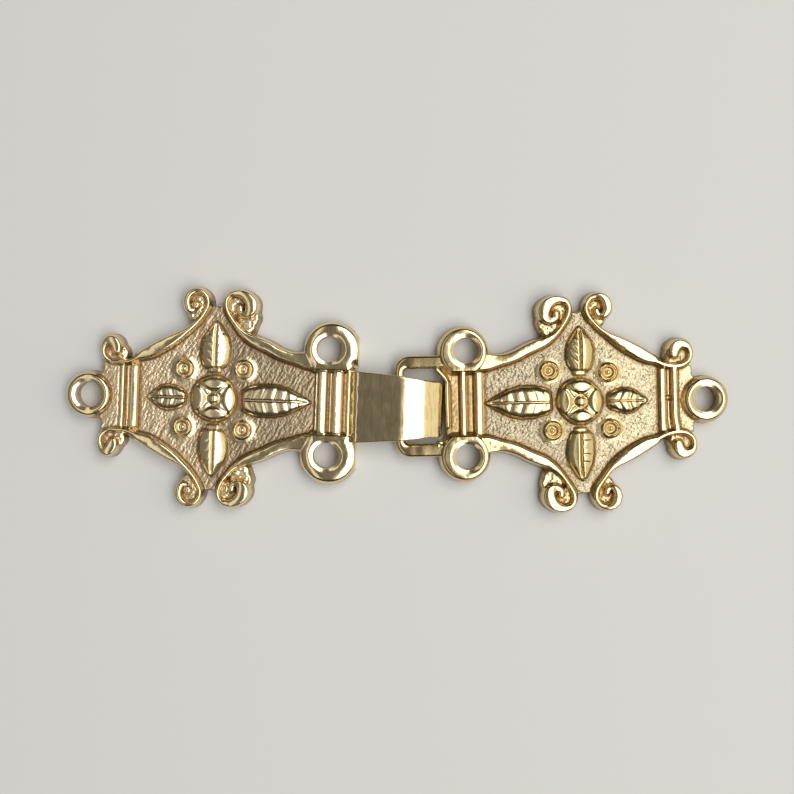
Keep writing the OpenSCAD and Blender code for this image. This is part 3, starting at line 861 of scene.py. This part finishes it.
def strapMesh():
    s, count = strap, strap["around"]
    bx, nx, nz, tx = s["barX"], s["noseX"], s["noseZ"], s["turnX"]
    low, lipRound, thin = s["lipBottom"], s["lipRound"], 0.8 * s["thickness"]
    lipMid = (s["lipTop"] + low) / 2
    # the side view, from the root over the top, round the nose to the lip and back underneath
    top = [(s["rootX"], s["rootTop"])] + s["rise"] + [(17.0, s["top"] - 0.05)]
    outline = [tuple(p) for p in splinePath(top)]
    outline += ovalPoints(bx, nz, nx - bx, s["top"] - nz, 90, 0, 44)
    outline += ovalPoints(tx, nz, nx - tx, nz - low, -8, -90, 16)
    outline += [(tx - 0.5, low), (s["lipTo"] + 0.8, low)]
    outline += ovalPoints(s["lipTo"] + lipRound, lipMid, lipRound, lipMid - low, -90, -270, 12)
    outline += ovalPoints(tx, nz, nx - tx - thin, nz - s["lipTop"], -90, -8, 10)
    outline += ovalPoints(bx, nz, nx - bx - thin, s["top"] - s["thickness"] - nz, 0, 90, 26)
    outline += s["underside"] + [(s["rootX"], s["rootBottom"])]
    # even spacing along it
    closed = np.array(outline + outline[:1])
    length = np.concatenate([[0], np.cumsum(np.hypot(*np.diff(closed, axis=0).T))])
    at = np.linspace(0, length[-1], count, endpoint=False)
    loop = np.stack([np.interp(at, length, closed[:, k]) for k in (0, 1)], axis=1)
    ahead = np.roll(loop, -1, axis=0) - np.roll(loop, 1, axis=0)
    inward = np.stack([ahead[:, 1], -ahead[:, 0]], axis=1)
    inward /= np.maximum(np.hypot(*inward.T), 1e-9)[:, None]
    inward *= smooth(s["rootX"], s["rootX"] + 0.5, loop[:, 0])[:, None]
    width = np.interp(loop[:, 0], *zip(*s["widths"]))
    q = np.clip((loop[:, 0] - (nx - s["corner"])) / s["corner"], 0, 1)
    width = width - s["corner"] * (1 - np.sqrt(1 - q**2)) * 0.9
    # rounded long edges: how far in from the width, how deep under the surface
    c = s["edge"]
    turns = np.radians(np.linspace(90, 0, 6))
    stations = [(c * (1 - math.sin(a)), c * (1 - math.cos(a))) for a in turns]
    verts = []
    rows = [(-(width - off), deep) for off, deep in stations]
    rows += [((width - c) * f, 0.0) for f in np.linspace(-1, 1, s["across"])[1:-1]]
    rows += [(width - off, deep) for off, deep in reversed(stations)]
    for y, deep in rows:
        x, z = (loop + inward * deep).T
        # rough skin near the root, one scratched line and soft waves
        rough = smooth(14.5, 13.5, x) * s["rough"] * valueNoise(x, y, 0.32, 31)
        line = s["lineDepth"] * np.exp(-(((y - 2.6 + (x - 14.0) * 1.25) / s["lineHalf"]) ** 2))
        line = line * smooth(16.6, 15.6, x) * smooth(13.9, 14.2, x)
        wave = s["wave"] * valueNoise(x * 0.7, y, 1.6, 33)
        verts += zip(x, y + s["shift"], z + np.where(z > 1.9, rough - line + wave, 0))
    return np.array(verts), rowFaces(len(rows), count)


# The eye's loop: arms of rounded square section and a round bar
# arm, bar: half width, half height, how square the section is
eyeLoop = {
    "rootX": 12.9, "armY": 4.4, "barX": 18.02, "z": 1.45, "corner": 1.0, "around": 28,
    "arm": (0.67, 0.53, 3.4), "bar": (0.49, 0.48, 2.5), "shift": -0.17, "wave": 0.012,
}


def loopMesh():
    s, around, r = eyeLoop, eyeLoop["around"], eyeLoop["corner"]
    # path rows: x, y, how far the section has turned from the arm's to the bar's
    cx, cy = s["barX"] - r, s["armY"] - r
    path = [(x, s["armY"], 0.0) for x in np.linspace(s["rootX"], cx, 26)]
    for a in np.radians(np.linspace(90, 0, 14)[1:]):
        path.append((cx + r * math.cos(a), cy + r * math.sin(a), 1 - math.degrees(a) / 90))
    path += [(s["barX"], y, 1.0) for y in np.linspace(cy, 0, 24)[1:]]
    path += [(x, -y, t) for x, y, t in reversed(path[:-1])]
    path = np.array(path)
    ahead = np.gradient(path[:, :2], axis=0)
    ahead /= np.hypot(*ahead.T)[:, None]
    side = np.stack([-ahead[:, 1], ahead[:, 0]], axis=1)
    verts = []
    for (x, y, t), (sx, sy) in zip(path, side):
        w, h, n = [a + (b - a) * t for a, b in zip(s["arm"], s["bar"])]
        for k in range(around):
            a = 2 * math.pi * k / around
            cu = math.copysign(abs(math.cos(a)) ** (2 / n), math.cos(a)) * w
            cz = math.copysign(abs(math.sin(a)) ** (2 / n), math.sin(a)) * h
            verts.append((x + sx * cu, y + sy * cu + s["shift"], s["z"] + cz))
    verts = np.array(verts)
    verts[:, 2] += s["wave"] * valueNoise(verts[:, 0], verts[:, 1], 0.8, 41)
    return verts, rowFaces(len(path), around, turned=True)


def toWorld(verts, place):
    u = -verts[:, 0] if place["mirrored"] else verts[:, 0]
    a = math.radians(place["turn"])
    x = place["origin"][0] + u * math.cos(a) - verts[:, 1] * math.sin(a)
    y = place["origin"][1] + u * math.sin(a) + verts[:, 1] * math.cos(a)
    return np.stack([x, y, verts[:, 2]], axis=1) * mm


def makeObject(name, verts, faces, place):
    world = toWorld(verts, place)
    if place["mirrored"]:
        faces = [list(reversed(f)) for f in faces]
    mesh = bpy.data.meshes.new(name)
    mesh.from_pydata(world.tolist(), [], faces)
    mesh.validate()
    mesh.update()
    obj = bpy.data.objects.new(name, mesh)
    bpy.context.scene.collection.objects.link(obj)
    return obj


def openEdges(mesh):
    count = {}
    for poly in mesh.polygons:
        for key in poly.edge_keys:
            count[key] = count.get(key, 0) + 1
    return sum(1 for c in count.values() if c != 2)


def joined(body, part):
    # one casting: the strap or the loop grows out of the plate
    mod = body.modifiers.new("join", "BOOLEAN")
    mod.operation, mod.object, mod.solver = "UNION", part, "MANIFOLD"
    view = bpy.context.evaluated_depsgraph_get()
    mesh = bpy.data.meshes.new_from_object(body.evaluated_get(view))
    body.modifiers.clear()
    body.data = mesh
    bpy.data.objects.remove(part)
    return body


def toneLayers(mesh, place, axes, maps):
    # hand the tones to the material, as layers of the mesh
    co = np.zeros(len(mesh.vertices) * 3)
    mesh.vertices.foreach_get("co", co)
    co = co.reshape(-1, 3) / mm
    x, y = co[:, 0] - place["origin"][0], co[:, 1] - place["origin"][1]
    a = math.radians(-place["turn"])
    u, v = x * math.cos(a) - y * math.sin(a), x * math.sin(a) + y * math.cos(a)
    if place["mirrored"]:
        u = -u
    onTop = smooth(0.35, 0.12, np.abs(co[:, 2] - lookUp(axes, maps["top"], u, v)))
    patinaAndShade, matte, filed = [
        lookUp(axes, maps[name], u, v) * onTop for name in ("patinaAndShade", "matte", "filed")
    ]
    # the casting's side walls below the top are darkened: painted shade
    wall = (1 - onTop) * smooth(2.1, 0.8, co[:, 2]) * (u < 13.8)
    layers = {
        "patinaAndShade": np.clip(patinaAndShade + 0.85 * wall, 0, 1),
        "matte": matte,
        # the strap and the loop are filed smoothest
        "smoothed": np.maximum(smooth(13.5, 14.3, u), filed),
        "outerEnd": smooth(3.5, -5.0, u),  # the fields are brighter towards the clasp's ends
    }
    for name, values in layers.items():
        layer = mesh.attributes.new(name, "FLOAT", "POINT")
        layer.data.foreach_set("value", values.astype(np.float32))


goldLook = {
    "hook": {
        "polished": (0.81, 0.67, 0.42), "patinaAndShade": (0.25, 0.14, 0.06),
        "field": (0.32, 0.25, 0.16), "fieldEnd": (0.65, 0.52, 0.35), "streak": (0.5, 0.4, 0.17),
        "shine": (0.18, 0.3), "grain": 0.6, "cuts": (55, 64), "cutDepth": 0.6, "marks": 0.025,
    },
    "eye": {
        # the eye's polished gold is darker than the hook's: partly its own tone, partly painted shade on
        # its rails and relief
        "polished": (0.67, 0.535, 0.29), "patinaAndShade": (0.28, 0.15, 0.05),
        "field": (0.36, 0.305, 0.205), "fieldEnd": (0.48, 0.415, 0.27), "streak": (0.55, 0.43, 0.2),
        "shine": (0.17, 0.27), "grain": 0.9, "cuts": (50, -20), "cutDepth": 0.6, "marks": 0.03,
    },
}

# Noise scales, and bump distances in metres, for both halves
metalSkin = {
    "cloud": 900, "grain": 3900, "grainBump": 0.00011, "cuts": 4200, "cutLength": 6.0,
    "cutBump": 0.00009, "castBump": 0.05, "filedBump": 0.01,
}


def goldMaterial(name, look):
    mat = bpy.data.materials.new(name)
    mat.use_nodes = True
    nodes, links = mat.node_tree.nodes, mat.node_tree.links
    shader = nodes["Principled BSDF"]
    shader.inputs["Metallic"].default_value = 1.0
    place = nodes.new("ShaderNodeTexCoord").outputs["Object"]

    def layer(attribute):
        node = nodes.new("ShaderNodeAttribute")
        node.attribute_name = attribute
        return node.outputs["Fac"]

    def noise(vector, scale, detail, rough=0.5):
        node = nodes.new("ShaderNodeTexNoise")
        node.inputs["Scale"].default_value = scale
        node.inputs["Detail"].default_value = detail
        node.inputs["Roughness"].default_value = rough
        links.new(vector, node.inputs["Vector"])
        return node.outputs["Fac"]

    def bump(height, distance, strength):
        node = nodes.new("ShaderNodeBump")
        node.inputs["Distance"].default_value = distance
        links.new(strength, node.inputs["Strength"])
        links.new(height, node.inputs["Height"])
        return node

    def calculated(kind, a, b):
        node = nodes.new("ShaderNodeMath")
        node.operation = kind
        node.use_clamp = True
        for k, x in enumerate((a, b)):
            if isinstance(x, (int, float)):
                node.inputs[k].default_value = x
            else:
                links.new(x, node.inputs[k])
        return node.outputs[0]

    def ramp(x, low, high, outLow, outHigh):
        node = nodes.new("ShaderNodeMapRange")
        links.new(x, node.inputs["Value"])
        for key, val in (("From Min", low), ("From Max", high), ("To Min", outLow), ("To Max", outHigh)):
            node.inputs[key].default_value = val
        return node.outputs["Result"]

    def mix(fac, a, b):
        node = nodes.new("ShaderNodeMix")
        node.data_type = "RGBA"
        links.new(fac, node.inputs["Factor"])
        for key, x in (("A", a), ("B", b)):
            socket = [i for i in node.inputs if i.name == key and i.type == "RGBA"][0]
            if isinstance(x, tuple):
                socket.default_value = (*x, 1)
            else:
                links.new(x, socket)
        return [o for o in node.outputs if o.type == "RGBA"][0]

    skin = metalSkin
    patinaAndShade, matte, smoothed = layer("patinaAndShade"), layer("matte"), layer("smoothed")
    cloud, grain = noise(place, skin["cloud"], 3, 0.6), noise(place, skin["grain"], 2)
    colour = mix(matte, look["polished"], mix(layer("outerEnd"), look["field"], look["fieldEnd"]))
    # hollows, side walls and the ground between the bars turn dark brown: patina and painted shade
    patinaShadeAmount = calculated("MULTIPLY", patinaAndShade, ramp(grain, 0.3, 0.7, 0.55, 1.0))
    colour = mix(patinaShadeAmount, colour, look["patinaAndShade"])
    rough = ramp(matte, 0, 1, *look["shine"])
    rough = calculated("ADD", rough, ramp(cloud, 0.35, 0.7, 0.0, 0.07))
    rough = calculated("ADD", rough, ramp(patinaAndShade, 0, 1, 0, 0.2))
    rough = calculated("ADD", rough, ramp(smoothed, 0, 1, 0, -0.09))
    links.new(rough, shader.inputs["Roughness"])
    cast = ramp(smoothed, 0, 1, skin["castBump"], skin["filedBump"])
    deep = calculated("ADD", calculated("MULTIPLY", matte, look["grain"]), cast)
    last = bump(grain, skin["grainBump"], deep)
    # graver's cuts in the field and the file's marks across the strap: drawn-out noise
    marks = [(angle, matte, look["cutDepth"]) for angle in look["cuts"]]
    marks.append((90, smoothed, look["marks"]))
    for angle, where, depth in marks:
        turn = nodes.new("ShaderNodeMapping")
        turn.vector_type = "TEXTURE"
        turn.inputs["Rotation"].default_value = (0, 0, math.radians(angle))
        turn.inputs["Scale"].default_value = (skin["cutLength"], 1.0, 1.0)
        links.new(place, turn.inputs["Vector"])
        cuts = noise(turn.outputs["Vector"], skin["cuts"], 1.5)
        groove = bump(cuts, skin["cutBump"], calculated("MULTIPLY", where, depth))
        links.new(last.outputs["Normal"], groove.inputs["Normal"])
        last = groove
    # the file's marks are also a little darker than the metal between them
    streaks = calculated("MULTIPLY", smoothed, ramp(cuts, 0.48, 0.66, 0.0, 0.45))
    links.new(mix(streaks, colour, look["streak"]), shader.inputs["Base Color"])
    links.new(last.outputs["Normal"], shader.inputs["Normal"])
    return mat


for side, partMesh in (("hook", strapMesh), ("eye", loopMesh)):
    half, place = castings[side], places[side]
    piece = makeObject(side + "Casting", *castingBody(half), place)
    print(side, "plate:", len(piece.data.vertices), "points, open edges:", openEdges(piece.data))
    extra = makeObject(side + "Part", *partMesh(), place)
    print(side, "part: open edges:", openEdges(extra.data))
    piece = joined(piece, extra)
    print(side, "joined:", len(piece.data.vertices), "points, open edges:", openEdges(piece.data))
    piece.data.polygons.foreach_set("use_smooth", [True] * len(piece.data.polygons))
    piece.data.set_sharp_from_angle(angle=math.radians(70))
    toneLayers(piece.data, place, *toneMaps(half))
    piece.data.materials.clear()
    piece.data.materials.append(goldMaterial(side + "Gold", goldLook[side]))
    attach(piece, side + "_body")
    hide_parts(side + "_half")

floor = bpy.data.meshes.new("floor")
floorHalf = 0.6
square = [(x * floorHalf, y * floorHalf, 0) for x, y in ((-1, -1), (1, -1), (1, 1), (-1, 1))]
floor.from_pydata(square, [], [(0, 1, 2, 3)])
floorObj = bpy.data.objects.new("floor", floor)
bpy.context.scene.collection.objects.link(floorObj)

floorMat = bpy.data.materials.new("paleFloor")
floorMat.use_nodes = True
floorShader = floorMat.node_tree.nodes["Principled BSDF"]
floorShader.inputs["Base Color"].default_value = (0.72, 0.72, 0.71, 1)
floorShader.inputs["Roughness"].default_value = 0.9
floor.materials.append(floorMat)

world = bpy.data.worlds.new("world")
bpy.context.scene.world = world
world.use_nodes = True
world.node_tree.nodes["Background"].inputs["Color"].default_value = (0.05, 0.047, 0.04, 1)

# from and to, as angles off the vertical towards +X; length; brightness that the metal mirrors
lamps = {
    "softbox": (6, 32, 0.9, 4.0, (1, 1, 1)),
    "softEdge": (0.5, 6, 0.9, 0.4, (1, 0.96, 0.86)),
    "warmSide": (33, 82, 0.8, 1.0, (1, 0.93, 0.72)),
    "overhead": (-13, 0.5, 0.9, 0.12, (1, 0.97, 0.9)),
    "leftCard": (-26, -15, 0.9, 1.0, (1, 0.96, 0.88)),
    "leftFill": (-76, -27, 0.8, 0.18, (1, 0.95, 0.82)),
}
lampAway = 0.6
for name, (start, end, length, brightness, colour) in lamps.items():
    middle, spread = math.radians((start + end) / 2), math.radians((end - start) / 2)
    data = bpy.data.lights.new(name, "AREA")
    data.shape = "RECTANGLE"
    data.size = 2 * lampAway * math.tan(spread)
    data.size_y = length
    data.color = colour
    data.energy = brightness * math.pi * data.size * data.size_y
    light = bpy.data.objects.new(name, data)
    light.location = (lampAway * math.sin(middle), 0, lampAway * math.cos(middle))
    light.rotation_euler = (0, middle, 0)
    bpy.context.scene.collection.objects.link(light)
bpy.context.scene.view_settings.view_transform = "Standard"
